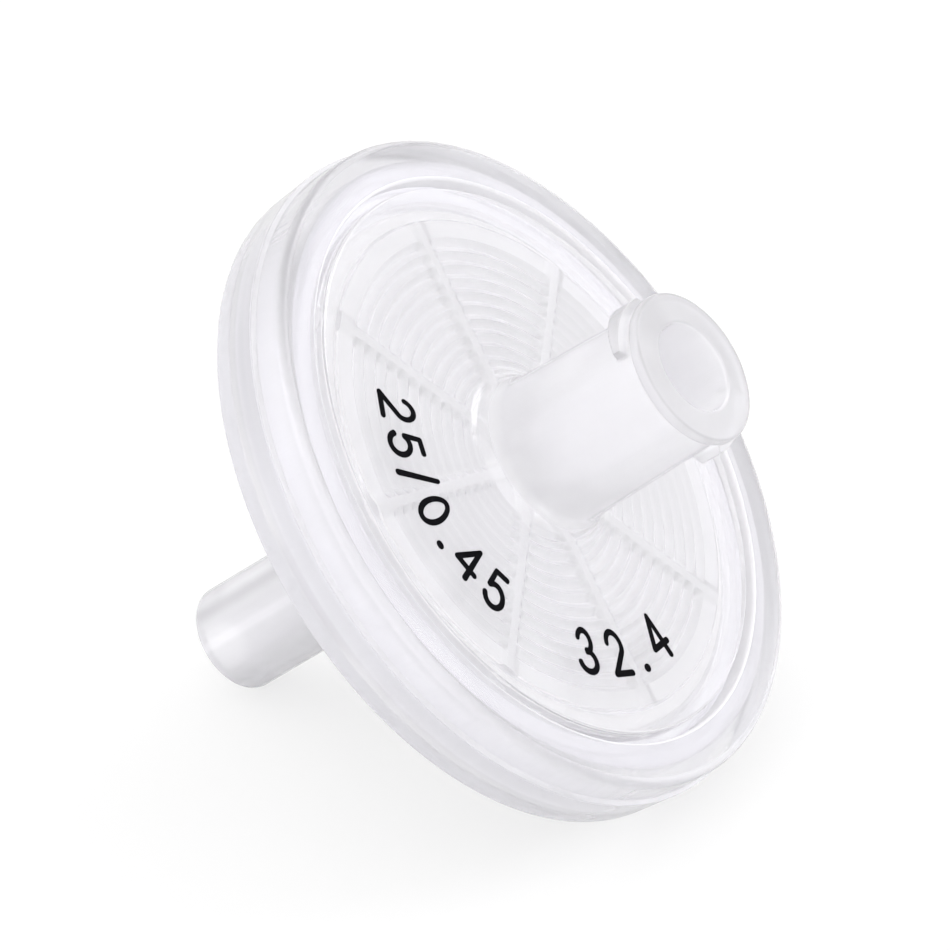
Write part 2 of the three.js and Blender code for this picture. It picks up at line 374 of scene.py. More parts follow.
def ridged(sizes, ridges, rise, radius, level, around):
    """Levels of a side from which ridges rise, cut by the radial channels."""
    channel = channel_share(sizes, radius, around)
    sink = math.copysign(sizes.channel_sink, rise)
    return level + rise * ridges(sizes, radius) * (1 - channel) - sink * channel


def lug_share(sizes, level, around, end):
    """How far each point of the socket's side stands on a lug: 0 off it and 1 on its crest."""
    swept = (around - sizes.lug_angle + sizes.lug_width / 2) % math.pi
    top = end - sizes.lug_drop
    low = top - sizes.lug_height + sizes.lug_lead * swept / math.tau
    root = 0.2 * MM
    spread = sizes.lug_flank * sizes.lug_reach / (sizes.lug_reach + root)
    along = np.minimum(smooth(low - spread, low, level), 1 - smooth(top, top + spread, level))
    edge = math.radians(2.2)
    ends = smooth(-edge, edge, swept) * (1 - smooth(-edge, edge, swept - sizes.lug_width))
    wrapped = smooth(-edge, edge, swept - math.pi)
    return along * np.maximum(ends, wrapped)


# Half sections. Their small offsets only place points near the edges.

def inlet_section(housing, socket, ring):
    """Half section of the inlet half: down the bore, out under the ridges, round the flange
    and back over the face and up the socket."""
    face, edge = ring.height, EDGE
    end = face + socket.height
    neck = socket.radius - socket.draft
    collar, under = neck + socket.collar_width, end - socket.collar_height
    floor = face + socket.floor
    mouth, hole = socket.bore / 2, socket.hole / 2
    slope = socket.taper / 2
    bottom = mouth - slope * (end - floor)
    cone = floor - (bottom - hole)
    ceiling, crest = housing.inlet_ceiling, housing.inlet_ridge_top
    land, chamber = housing.land_radius, housing.chamber_radius
    split = housing.split + housing.clearance / 2
    tongue = split - housing.tongue_depth
    tongue_in = housing.tongue_radius - housing.tongue_width / 2
    tongue_out = housing.tongue_radius + housing.tongue_width / 2
    ridges = ridge_count(housing, housing.inlet_pitch)
    first = housing.ridge_start - housing.inlet_pitch / 2
    last = first + ridges * housing.inlet_pitch
    return [
        *tagged([*corner(mouth, end, socket.mouth, 1, 2, 5),
                 *between((mouth - slope * MM, end - MM), (bottom, floor + edge), 6)], BARREL),
        *between((bottom - edge, floor - edge), (hole + edge, cone + edge), 3),
        *between((hole, cone - edge), (hole, ceiling + edge), 4),
        *tagged([*between((hole + edge, ceiling), (first, ceiling), 8),
                 *between((first, ceiling), (last, ceiling), ridges * RIDGE_STEPS),
                 *between((last, ceiling), (land - edge, ceiling), 3)], RIDGED),
        (land, ceiling - edge), (land, crest + edge), (land + edge, crest),
        (chamber, crest), (chamber, split), (tongue_in, split),
        *corner(tongue_in, tongue, edge, 2, 3),
        *corner(tongue_out, tongue, edge, 3, 4),
        (tongue_out, split),
        *corner(housing.flange_radius, split, edge, 3, 4),
        *corner(housing.flange_radius, housing.flange_front, edge, 0, 1),
        (housing.face_radius, housing.flange_front),
        *corner(housing.face_radius, face, housing.face_round, 0, 1, 6),
        *between((housing.face_radius - 0.6 * MM, face),
                 (socket.radius + socket.fillet + 0.3 * MM, face), 10),
        *corner(socket.radius, face, socket.fillet, 3, 2.5, 5),
        *tagged([*corner(socket.radius, face, socket.fillet, 2.5, 2, 5),
                 *between((socket.radius - 0.1 * socket.draft,
                           face + socket.fillet + 0.6 * MM), (neck, end - 3.1 * MM), 6),
                 *between((neck, end - 3.0 * MM), (neck, under - 0.26 * MM), 34),
                 *between((neck + 0.02 * MM, under - 0.2 * MM),
                          (collar - 0.03 * MM, under - 0.03 * MM), 3),
                 (collar, under + 0.05 * MM),
                 *corner(collar, end, socket.collar_round, 0, 1, 6),
                 (collar - socket.collar_round - 0.25 * MM, end)], BARREL),
    ]


def outlet_section(housing, spout):
    """Half section of the outlet half: down the bore, up outside the spout, round the flange
    and in under the ridges. Its back face is at level 0."""
    hole, tip = spout.bore / 2, -spout.length
    floor, crest = housing.outlet_floor, housing.outlet_ridge_top
    land, chamber = housing.land_radius, housing.chamber_radius
    split = housing.split - housing.clearance / 2
    groove = split - housing.tongue_depth
    reach = housing.tongue_width / 2 + housing.clearance
    groove_in, groove_out = housing.tongue_radius - reach, housing.tongue_radius + reach
    edge, lip = EDGE, 0.1 * MM
    return [
        *between((hole, floor - edge), (hole + spout.draft, tip + 2 * lip), 12),
        *corner(hole + spout.draft, tip, lip, 2, 3, 4),
        *corner(spout.radius, tip, spout.tip_round, 3, 4, 7),
        *between((spout.radius, tip + MM), (spout.radius, -spout.fillet - 0.4 * MM), 12),
        *corner(spout.radius, 0, spout.fillet, 2, 1, 8),
        *between((spout.radius + spout.fillet + 0.4 * MM, 0),
                 (housing.face_radius - 0.5 * MM, 0), 8),
        *corner(housing.face_radius, 0, housing.face_round, 3, 4, 5),
        (housing.face_radius, housing.flange_back),
        *corner(housing.flange_radius, housing.flange_back, edge, 3, 4),
        *corner(housing.flange_radius, split, edge, 0, 1),
        (groove_out, split),
        *corner(groove_out, groove, edge, 0, -1),
        *corner(groove_in, groove, edge, 3, 2),
        (groove_in, split), (chamber, split), (chamber, crest),
        (land + edge, crest), (land, crest - edge), (land, floor + edge),
        *tagged(between((land - edge, floor), (hole + edge, floor), 96), RIDGED),
    ]


def ring_section(ring):
    """Half section of the ring: from the back lip round the outside to the inner wall."""
    inner = ring.radius - ring.wall
    lip = inner - ring.lip_width
    front, back = ring.radius - ring.step, ring.radius - ring.draft
    step = ring.step_level + ring.step_rise
    edge = 0.06 * MM
    return [
        *corner(lip, 0, ring.lip_round, 2, 3, 4),
        *between((lip + 0.4 * MM, 0), (back - ring.back_round - 0.15 * MM, 0), 3),
        *tagged([*corner(back, 0, ring.back_round, 3, 4, 7),
                 *between((back + 0.02 * MM, ring.back_round + 0.1 * MM),
                          (ring.radius - 0.01 * MM, ring.step_level - 2 * edge), 6)],
                BACK_BAND),
        *tagged([*corner(ring.radius, ring.step_level, edge, 0, 1),
                 *corner(front, step - edge, edge, 3, 2),
                 *between((front, step + edge),
                          (front, ring.height - ring.front_round - edge), 5),
                 *corner(front, ring.height, ring.front_round, 0, 1, 8)], FRONT_BAND),
        *between((front - ring.front_round - 0.2 * MM, ring.height),
                 (lip + ring.lip_round + 0.2 * MM, ring.height), 4),
        *tagged([*corner(lip, ring.height, ring.lip_round, 1, 2, 4),
                 (lip, ring.height - ring.lip_thickness)], GROOVE),
        (inner, ring.height - ring.lip_thickness),
        (inner, ring.lip_thickness), (lip, ring.lip_thickness),
    ]


def disc_section(radius, level, thickness, pinch):
    """Half section of a filter disc, thinner at the edge where the land grips it. It starts
    and ends on the axis."""
    half = thickness / 2
    middle, thin = level + half, half - pinch
    rim = radius - 0.7 * MM
    top = [(r, middle + half - pinch * float(smooth(rim - 0.5 * MM, rim, r)))
           for r in np.linspace(0, radius - thin, 60)]
    bottom = [(r, 2 * middle - z) for r, z in reversed(top)]
    return [*top, *arc(radius - thin, middle, thin, 1, -1, 8)[1:-1], *bottom]


# Figures: each has its width and a list of strokes, in figure heights

def bowl(x, y, width, height, start, end, steps):
    turns = np.radians(np.linspace(start, end, steps + 1))
    return [(x + width * math.cos(t), y + height * math.sin(t)) for t in turns]


FIGURES = {
    "0": (0.6, [bowl(0.3, 0.5, 0.25, 0.44, 90, 450, 28)]),
    "2": (0.6, [bowl(0.3, 0.68, 0.24, 0.26, 170, -38, 18) + [(0.06, 0.06)],
                [(0.06, 0.06), (0.56, 0.06)]]),
    "3": (0.6, [bowl(0.29, 0.71, 0.21, 0.23, 165, -82, 16),
                bowl(0.29, 0.28, 0.25, 0.23, 84, -165, 16)]),
    "4": (0.64, [[(0.45, 0.06), (0.45, 0.94)], [(0.45, 0.94), (0.05, 0.32)],
                 [(0.05, 0.32), (0.6, 0.32)]]),
    "5": (0.6, [[(0.52, 0.94), (0.14, 0.94)], [(0.14, 0.94), (0.09, 0.53)],
                bowl(0.29, 0.34, 0.25, 0.28, 138, -160, 18)]),
    "/": (0.4, [[(0.02, -0.02), (0.38, 1.02)]]),
    ".": (0.14, [[(0.06, 0.07), (0.08, 0.07)]]),
}


def stroke_strip(points, half):
    """Left and right edge points of a stroke with round ends."""
    cap_steps = 5
    cap_start = 0.06     # the tip keeps a little width
    line = np.array(points, float)
    closed = np.allclose(line[0], line[-1])
    ahead = np.diff(line, axis=0)
    ahead /= np.linalg.norm(ahead, axis=1, keepdims=True)
    first, last = (ahead[-1:], ahead[:1]) if closed else (ahead[:1], ahead[-1:])
    way = np.vstack([first, ahead]) + np.vstack([ahead, last])
    way /= np.linalg.norm(way, axis=1, keepdims=True)
    width = np.full(len(line), half)
    if not closed:
        turns = np.linspace(cap_start, 1, cap_steps + 1)[:-1] * (math.pi / 2)
        reach, narrow = np.cos(turns) * half, np.sin(turns) * half
        line = np.vstack([line[0] - way[0] * reach[:, None], line,
                          line[-1] + way[-1] * reach[::-1, None]])
        way = np.vstack([np.repeat(way[:1], cap_steps, axis=0), way,
                         np.repeat(way[-1:], cap_steps, axis=0)])
        width = np.concatenate([narrow, width, narrow[::-1]])
    aside = np.stack([-way[:, 1], way[:, 0]], axis=1) * width[:, None]
    return line + aside, line - aside


def figure_run(text, sizes, base, start, end, face):
    """Closed strips of ink for a run of figures along an arc, with their tops to the hub."""
    marks = [FIGURES[mark] for mark in text]
    widths = sum(width for width, _ in marks) * sizes.height
    gap = (abs(end - start) * base - widths) / max(len(marks) - 1, 1)
    points, faces = [], []
    film_step = 0.001 * MM       # keeps crossing strokes apart
    point_width = 1.25           # of a decimal point, in strokes
    at = 0.0
    for mark, (width, strokes) in zip(text, marks):
        half = sizes.stroke / 2 * (point_width if mark == "." else 1)
        for order, stroke in enumerate(strokes):
            left, right = stroke_strip(np.array(stroke) * sizes.height, half)
            low = face + 2 * film_step
            high = low + sizes.film + order * film_step
            rows = []
            for side, level in ((left, low), (right, low), (right, high), (left, high)):
                radius, swept = base - side[:, 1], start + (at + side[:, 0]) / base
                rows.append(np.stack([radius * np.cos(swept), radius * np.sin(swept),
                                      np.full(len(side), level)], axis=1))
            count, offset = len(left), sum(len(part) for part in points)
            points.append(np.vstack(rows))
            i = np.arange(count - 1)
            for a, b in ((0, 1), (1, 2), (2, 3), (3, 0)):
                faces.append(np.stack([a * count + i, b * count + i, b * count + i + 1,
                                       a * count + i + 1], axis=1) + offset)
            if not np.allclose(stroke[0], stroke[-1]):
                cap = np.array([[0, 3, 2, 1]]) * count + offset
                faces += [cap, cap[:, ::-1] + count - 1]
        at += width * sizes.height + gap
    return np.vstack(points), np.vstack(faces)


# Shaders

class Signal:
    """A shader socket that takes part in Python expressions on numbers."""

    def __init__(self, tree, socket):
        self.tree, self.socket = tree, socket

    def math(self, operation, *others):
        return self.tree.node("Math", dict(enumerate((self, *others))), operation=operation)

    def __add__(self, other):
        return self.math("ADD", other)

    def __sub__(self, other):
        return self.math("SUBTRACT", other)

    def __rsub__(self, other):
        return self.tree.node("Math", {0: other, 1: self}, operation="SUBTRACT")

    def __mul__(self, other):
        return self.math("MULTIPLY", other)

    __radd__ = __add__
    __rmul__ = __mul__

    def rise(self, low, high):
        """What smooth does, for a signal."""
        return self.tree.node("MapRange", {"Value": self, "From Min": low, "From Max": high},
                              interpolation_type="SMOOTHSTEP")

    def near(self, middle, inner, outer):
        """For an angle round the axis: 1 within inner degrees of a middle one, and 0 beyond
        outer degrees of it."""
        away = (self - math.radians(middle)).math("COSINE").math("ARCCOSINE")
        return 1 - away.rise(math.radians(inner), math.radians(outer))


class Finish:
    """The node tree of a material or the world, with one way to add any node."""

    def __init__(self, name, world=None):
        self.owner = world or bpy.data.materials.new(name)
        self.owner.use_nodes = True
        self.nodes = self.owner.node_tree.nodes
        self.links = self.owner.node_tree.links
        self.nodes.clear()

    def node(self, kind, values=None, output=0, **options):
        made = self.nodes.new("ShaderNode" + kind)
        for name, value in options.items():
            setattr(made, name, value)
        for name, value in (values or {}).items():
            if isinstance(value, Signal):
                self.links.new(value.socket, made.inputs[name])
            else:
                made.inputs[name].default_value = value
        return Signal(self, made.outputs[output]) if made.outputs else made

    def other(self, signal, output):
        """Another output of a signal's node."""
        return Signal(self, signal.socket.node.outputs[output])

    def mix(self, factor, low, high):
        """A colour between two colours, which sockets 6 and 7 take."""
        low, high = (end if isinstance(end, Signal) else (*end, 1) for end in (low, high))
        return self.node("Mix", {0: factor, 6: low, 7: high}, 2, data_type="RGBA")

    def noise(self, place, scale, detail, roughness, distortion=0):
        """Noise over a place, which may be given as x, y and z."""
        if isinstance(place, tuple):
            place = self.node("CombineXYZ", dict(enumerate(place)))
        return self.node("TexNoise", {"Vector": place, "Scale": scale, "Detail": detail,
                                      "Roughness": roughness, "Distortion": distortion})

    def place(self):
        """Coordinates that ride with the piece."""
        return self.node("TexCoord", output="Object")

    def local(self, place):
        """x, y and z of a place in the filter's own frame."""
        return [self.node("VectorMath", {0: place, 1: row[:3]}, "Value",
                          operation="DOT_PRODUCT") + row[3]
                for row in placement().inverted()[:3]]

    def surface(self, tint, roughness, relief, depth, **constants):
        """A shader whose surface has a relief of a given depth. The constants are named
        after its sockets."""
        bump = self.node("Bump", {"Height": relief, "Distance": depth, "Strength": 1})
        return self.node("BsdfPrincipled", {
            "Base Color": tint, "Roughness": roughness, "Normal": bump,
            **{name.replace("_", " "): value for name, value in constants.items()}})

    def finish(self, shader):
        kind = "Material" if self.owner.id_type == "MATERIAL" else "World"
        self.node("Output" + kind, {"Surface": shader})
        return self.owner

    def choose(self, factor, first, second):
        """Ends in one shader where the factor is 0 and in another where it is 1."""
        return self.finish(self.node("MixShader", {0: factor, 1: first, 2: second}))


WHITE = (1, 1, 1, 1)
# Painted shade: the tone that it darkens the plastic to
PAINTED_SHADE_TONE = 0.45     # share of a plastic's colour


def shaded(tint, part):
    return tuple(part * c for c in tint)


def moulded_plastic(name, tint, clearness, roughness, streaks, passing, painted_shade=None):
    """Natural plastic: clear with a milky share, faint flow lines and a fine mould grain.
    Painted shade darkens its outline, where it turns away from the view. Its last argument, a
    function of z, radius and around, paints more shade by place, and takes shade away where it
    is below 0. Lamps light what lies inside, through it, and passing is the colour of the light
    in its faint shadow."""
    tree = Finish(name)
    place = tree.place()
    x, y, z = tree.local(place)
    radius, around = (x * x + y * y).math("SQRT"), y.math("ARCTAN2", x)
    cloud = tree.noise(place, 260, 3, 0.55)
    flow = tree.noise((radius * 900, around * 2.2, z * 500), 1, 4, 0.6)
    grain = tree.noise(place, 5200, 2, 0.6)
    fine = tree.noise((around * streaks, radius * 120, z * 60), 1, 3, 0.65)
    cloudy = (cloud * 0.5 + flow * 0.3 + fine * 0.2).rise(0.3, 0.7)
    body = tree.mix(cloudy, shaded(tint, 0.97), tint)
    # Painted shade: darker at the outline, where the surface turns away from the view
    facing = tree.node("LayerWeight", {"Blend": 0.5}, "Facing")
    dark = facing.rise(0.72, 1.0) * 0.4
    # Painted shade by place, from the function given last
    if painted_shade:
        dark = dark + painted_shade(z, radius, around)
    shader = tree.surface(tree.mix(dark, body, shaded(tint, PAINTED_SHADE_TONE)),
                          roughness + (flow - 0.5) * 0.04 + (cloud - 0.5) * 0.03,
                          flow * 0.5 + fine * 0.35 + grain * 0.15, 0.012 * MM,
                          IOR=1.45, Transmission_Weight=clearness)
    clear = tree.node("BsdfTransparent", {"Color": (*passing, 1)})
    return tree.choose(tree.node("LightPath", output="Is Shadow Ray"), shader, clear)


def glass_fibre(name, tint):
    """Felted glass fibre: two crossing sets of fine hairs over soft lumps."""
    tree = Finish(name)
    place = tree.place()
    x, y, z = tree.local(place)
    lumps = tree.noise(place, 900, 3, 0.6)
    hairs = tree.noise((x * 900, y * 9000, z * 2000), 1, 3, 0.6, 1.5)
    across = tree.noise((x * 9000, y * 900, z * 2000), 1, 3, 0.6, 1.5)
    felt = (hairs * 0.4 + across * 0.4 + lumps * 0.2).rise(0.35, 0.65)
    return tree.finish(tree.surface(tree.mix(felt, shaded(tint, 0.93), tint),
                                    0.85 + felt * 0.1, felt, 0.05 * MM))


def membrane_film(name, tint):
    """Matt white film with a fine pore grain."""
    tree = Finish(name)
    place = tree.place()
    pores = tree.noise(place, 9000, 2, 0.5)
    tone = (pores * 0.4 + tree.noise(place, 350, 3, 0.5) * 0.6).rise(0.3, 0.7)
    return tree.finish(tree.surface(tree.mix(tone, shaded(tint, 0.96), tint),
                                    0.6 + pores * 0.15, pores, 0.01 * MM))


def print_ink(name, tint):
    """Pad-printed ink: near black, a little uneven in cover and gloss."""
    tree = Finish(name)
    cover = tree.noise(tree.place(), 4200, 3, 0.6)
    return tree.finish(tree.surface(tree.mix(cover.rise(0.55, 0.8), tint, shaded(tint, 3)),
                                    0.42 + cover * 0.2, cover, 0.006 * MM,
                                    Specular_IOR_Level=0.02))


def white_seen(tree, studio):
    """1 for rays from the camera and for those that plastic reflects or lets through, and the
    white that they see: a little less for reflected rays, which outlines the plastic."""
    rays = tree.node("LightPath", output="Is Camera Ray")
    glossy, through = (tree.other(rays, f"Is {kind} Ray") for kind in ("Glossy", "Transmission"))
    white = 1 - glossy * (1 - through) * studio.outline
    return rays.math("MAXIMUM", glossy).math("MAXIMUM", through), white


def floor_paint(name, studio):
    """Pale floor that looks white, and keeps the shadow of what lies on it."""
    tree = Finish(name)
    mottle = tree.mix(tree.noise(tree.place(), 40, 2, 0.5), shaded(studio.floor, 0.97),
                      studio.floor)
    lit = tree.node("BsdfDiffuse", {"Color": mottle})
    soft = tree.node("BsdfDiffuse", {"Color": (*studio.floor_seen, 1)})
    rays, white = white_seen(tree, studio)
    glow = tree.node("Emission", {"Color": WHITE, "Strength": white * studio.floor_glow})
    return tree.choose(rays, lit, tree.node("AddShader", {0: soft, 1: glow}))


def surround(scene, studio):
    """White where it is seen, and for the rest a dome brighter on the camera's side."""
    scene.world = scene.world or bpy.data.worlds.new("surroundings")
    tree = Finish("surroundings", scene.world)
    rays, white = white_seen(tree, studio)
    seen = tree.node("Background", {"Color": WHITE, "Strength": white})
    way = tree.node("TexCoord", output="Generated")
    behind = tree.other(tree.node("SeparateXYZ", {0: way}), "Y")
    dome = tree.node("Background", {"Color": (*studio.dome_tint, 1),
                                    "Strength": studio.dome - behind * studio.dome_lean})
    tree.choose(rays, dome, seen)


# Operators

# Painted shade by place, as a share towards the plastic's dark tone; below 0 takes shade away
FACE, FACE_HIGH, FACE_EDGE = 0.03, 0.06, -0.3
COLLAR, COLLAR_UPPER, SOCKET_END, SOCKET_BAND, BARREL_FAR = 0.14, 0.1, 0.24, 0.16, 0.14
VALLEYS, CHANNELS_MORE = 0.13, 0.9
SPOUT = 0.16
RING_ROUND, RING_ROUND_HIGH = 0.06, 0.34
BELT, BELT_LINE, BELT_SIDE, BELT_UPPER, BELT_FAR = 0.02, 0.24, 0.28, -0.08, 0.16
BAND_HIGH, BAND_ROUND_HIGH, BAND_FAR = 0.22, 0.36, 0.12
# Where round the axis the painted shade lies: the middle, and the reach of the whole and of any
# of it
SOCKET_BAND_AT, BARREL_FAR_AT = (-168, 5, 35), (100, 20, 100)
BELT_SIDE_AT, RING_FAR_AT = (-147, 8, 38), (90, 20, 90)
SPOUT_PAINTED_STRIPES = (((-142, 0, 16), 0.36), ((-178, 0, 30), 0.3), ((-40, 0, 34), 0.3),
               ((-107, 0, 9), -0.2))
# Where the high side's painted shade rises, in degrees from the lowest side
FACE_RISE, ROUND_RISE, BAND_RISE = (110, 150), (138, 160), (120, 160)
# Shades of a part, as a share of its piece's colour
SOCKET_SHADE, BACK_SHADE = 0.94, 0.93
# Colour of the light that passes each kind of plastic
ALL_PASSES, FACE_PASSES = (1, 1, 1), (0.985, 0.985, 0.99)
RING_PASSES, BACK_PASSES = (0.97, 0.97, 0.975), (0.93, 0.93, 0.94)


def high_side(around, inner, outer):
    """0 to 1 towards the side of the discs that lies highest, where painted shade rises."""
    return around.math("ABSOLUTE").rise(math.radians(inner), math.radians(outer))


def dress(piece, node, slot, *materials):
    for material in materials:
        piece.data.materials.append(material)
    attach(piece, "root")
    if node:
        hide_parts(node)


def dress_plastic(piece, node, slot, *parts):
    """Dresses a moulded piece. Each part has a name and what moulded_plastic takes."""
    dress(piece, node, slot, *(moulded_plastic(f"{slot}_{name}", *look)
                               for name, *look in parts))


class FILTER_OT_inlet(bpy.types.Operator):
    """Build the inlet half: plate, ridges, channels, socket, collar and lugs"""
    bl_idname = "disc_filter.inlet"
    bl_label = "Inlet half"

    def execute(self, context):
        housing, socket, ring, finish = settings("housing", "socket", "ring", "finish")
        end = ring.height + socket.height
        neck = socket.radius - socket.draft
        crest = neck + socket.lug_reach
        ceiling, ridge_top = housing.inlet_ceiling, housing.inlet_ridge_top

        def relief(radius, level, around, tag):
            cut = ridged(housing, sharp_ridges, ridge_top - ceiling, radius, level, around)
            lugs = lug_share(socket, level, around, end)
            side = (tag == BARREL) & (radius > neck - 0.01 * MM)
            grown = np.where(side, np.maximum(radius, radius + (crest - radius) * lugs), radius)
            return grown, np.where(tag == RIDGED, cut, level)

        def face_painted_shade(z, radius, around):
            """Painted shade over the face, more at the high side, and painted lighter at the
            face's edge, down the joint groove.
            """
            outer = radius.rise(housing.face_radius * 0.5, housing.face_radius * 0.85)
            edge = radius.rise(housing.face_radius - 0.15 * MM, housing.face_radius)
            return (FACE + high_side(around, *FACE_RISE) * outer * FACE_HIGH
                    + edge * FACE_EDGE)

        def socket_painted_shade(z, radius, around):
            """Painted shade on the collar, lugs, end and fillet, in a soft band behind the
            collar, and a little on the barrel's far side."""
            proud = radius.rise(neck + 0.03 * MM, neck + 0.2 * MM)
            barrel = radius.rise(neck - 0.3 * MM, neck - 0.1 * MM)
            upper = z.rise(end - 5 * MM, end - 1.5 * MM)
            flat = z.rise(end - 0.1 * MM, end - 0.02 * MM)
            return (proud * (COLLAR + upper * COLLAR_UPPER) + flat * SOCKET_END
                    + upper * around.near(*SOCKET_BAND_AT) * SOCKET_BAND
                    + barrel * around.near(*BARREL_FAR_AT) * BARREL_FAR)

        def valley_painted_shade(z, radius, around):
            """Painted shade between the ridges, and more in the channels."""
            channel = z.rise(ceiling + 0.02 * MM, ceiling + housing.channel_sink * 0.6)
            return z.rise(ridge_top, ceiling) * VALLEYS * (1 + CHANNELS_MORE * channel)

        tint = finish.plastic
        dress_plastic(
            turned("inlet_half", inlet_section(housing, socket, ring), relief, 400),
            "inlet_housing", "clear_white_plastic",
            ("inlet", tint, finish.clearness, 0.1, 60, FACE_PASSES, face_painted_shade),
            ("ridges", tint, finish.haze, 0.17, 60, ALL_PASSES, valley_painted_shade),
            ("socket", shaded(tint, SOCKET_SHADE), finish.socket_clearness, 0.2, 30, FACE_PASSES,
             socket_painted_shade))
        return {"FINISHED"}


class FILTER_OT_outlet(bpy.types.Operator):
    """Build the outlet half: plate, flat ridges, channels and spout"""
    bl_idname = "disc_filter.outlet"
    bl_label = "Outlet half"

    def execute(self, context):
        housing, spout, finish = settings("housing", "spout", "finish")
        rise = housing.outlet_ridge_top - housing.outlet_floor

        def relief(radius, level, around, tag):
            cut = ridged(housing, flat_ridges, rise, radius, level, around)
            return radius, np.where(tag == RIDGED, cut, level)

        def streaks(z, radius, around):
            """Painted shade down the spout, in long soft stripes, one of them painted lighter.
            """
            # Painted shade over the whole spout, then painted stripes of shade and light along
            # it
            marks = SPOUT
            for where, depth in SPOUT_PAINTED_STRIPES:
                marks = marks + around.near(*where) * depth
            return (1 - z.rise(-spout.fillet, -0.2 * MM)) * marks

        tint = finish.spout
        dress_plastic(
            turned("outlet_half", outlet_section(housing, spout), relief, 440),
            "outlet_housing", "clear_white_plastic",
            ("outlet", tint, finish.spout_clearness, 0.19, 30, RING_PASSES, streaks),
            ("grooves", tint, finish.haze, 0.17, 30, ALL_PASSES))
        return {"FINISHED"}


def grain_lines(turns):
    """Uneven fine lines round a band, one value for each of its turns, in soft patches."""
    seeded = np.random.default_rng(7)
    lines = seeded.normal(0, 1, turns)
    lines = 0.6 * lines + 0.4 * np.roll(lines, 1)
    patches = sum(np.sin(np.arange(turns) * (math.tau * k / turns) + k * 1.7) / k
                  for k in (2, 3, 5, 9))
    return lines * np.clip(0.55 + 0.5 * patches, 0.1, 1)


class FILTER_OT_ring(bpy.types.Operator):
    """Build the sealing ring with its step, lips and the fine lines of its front band"""
    bl_idname = "disc_filter.ring"
    bl_label = "Sealing ring"

    def execute(self, context):
        ring, finish = settings("ring", "finish")
        turns = 900
        lines = grain_lines(turns)
        front, step = ring.radius - ring.step, ring.step_level + ring.step_rise
        rounding = ring.height - ring.front_round

        def relief(radius, level, around, tag):
            band = (radius > front - ring.front_round) & (level > step)
            fade = 1 - smooth(rounding, ring.height, level)
            return np.where(band, radius + ring.grain * lines * fade, radius), level

        def edges(z, radius, around):
            """Painted shade on the outer front rounding, most of all at the high side."""
            outer = radius.rise(front - 1.6 * MM, front - 0.9 * MM)
            high = z.rise(rounding - 0.2 * MM, ring.height - 0.2 * MM)
            top = high_side(around, *ROUND_RISE)
            return outer * high * (RING_ROUND + top * RING_ROUND_HIGH)

        def belt_painted_shade(z, radius, around):
            """Painted shade between the lip and the step, most of all on the raised side."""
            lip = ring.lip_thickness
            low = z.rise(lip + 0.05 * MM, lip + 0.25 * MM)
            line = low * (1 - z.rise(lip + 0.5 * MM, lip + 0.7 * MM))
            upper = z.rise(ring.step_level - 0.7 * MM, ring.step_level - 0.4 * MM)
            side = around.near(*BELT_SIDE_AT) * low
            return (line * BELT_LINE + side * (BELT_SIDE + upper * BELT_UPPER)
                    + around.near(*RING_FAR_AT) * BELT_FAR + BELT)

        def front_band_painted_shade(z, radius, around):
            """Painted shade at the high side, most of all on the rounding, and on the far side.
            """
            round_part = z.rise(rounding - 0.2 * MM, ring.height)
            return (high_side(around, *BAND_RISE) * (BAND_HIGH + round_part * BAND_ROUND_HIGH)
                    + around.near(*RING_FAR_AT) * BAND_FAR)

        tint = finish.ring
        dress_plastic(
            turned("sealing_ring_piece", ring_section(ring), relief, turns, 50),
            "sealing_ring", "ring_plastic",
            ("body", tint, finish.ring_clearness, 0.19, 160, RING_PASSES, edges),
            ("back", shaded(tint, BACK_SHADE), finish.back_clearness, 0.22, 160,
             BACK_PASSES, belt_painted_shade),
            ("groove", finish.groove, finish.groove_clearness, 0.2, 160, ALL_PASSES),
            ("front", finish.front, finish.front_clearness, 0.19, 160, RING_PASSES, front_band_painted_shade))
        return {"FINISHED"}


class FILTER_OT_discs(bpy.types.Operator):
    """Build the glass fibre disc and the membrane behind it"""
    bl_idname = "disc_filter.discs"
    bl_label = "Filter discs"

    def execute(self, context):
        sizes, finish = settings("discs", "finish")

        def uneven(radius, level, around, tag):
            calm = 1 - smooth(sizes.radius - 1.5 * MM, sizes.radius - 0.8 * MM, radius)
            x, y = radius * np.cos(around) / MM, radius * np.sin(around) / MM
            waves = (np.sin(1.3 * x + 0.7 * y) + np.sin(2.1 * y - 0.6 * x + 1.2)
                     + 0.6 * np.sin(3.7 * x + 2.9 * y + 0.4))
            return radius, level + sizes.sag * calm * waves / 2.6

        for name, level, thick, pinch, material, node, slot in (
                ("fibre_disc", sizes.prefilter_level, sizes.prefilter_thickness, 0.06 * MM,
                 glass_fibre("glass_fibre_felt", finish.fibre),
                 "glass_fibre_prefilter", "glass_fibre"),
                ("membrane_disc", sizes.membrane_level, sizes.membrane_thickness, 0.01 * MM,
                 membrane_film("membrane_film_white", finish.film),
                 "membrane", "membrane_film")):
            piece = turned(name, disc_section(sizes.radius, level, thick, pinch), uneven, 240)
            weld_centre(piece)
            dress(piece, node, slot, material)
        return {"FINISHED"}


class FILTER_OT_figures(bpy.types.Operator):
    """Print the plain figures on the inlet face, in two runs round the socket"""
    bl_idname = "disc_filter.figures"
    bl_label = "Printed figures"

    def execute(self, context):
        sizes, finish, ring = settings("print", "finish", "ring")
        ink = print_ink("print_ink_black", finish.ink)
        for name, text in (("long", "25/0.45"), ("short", "32.4")):
            base, start, end = (getattr(sizes, f"{name}_{part}")
                                for part in ("radius", "start", "end"))
            points, faces = figure_run(text, sizes, base, start, end, ring.height)
            dress(make_piece("figures_" + name, points, faces), None, "clear_white_plastic",
                  ink)
        return {"FINISHED"}


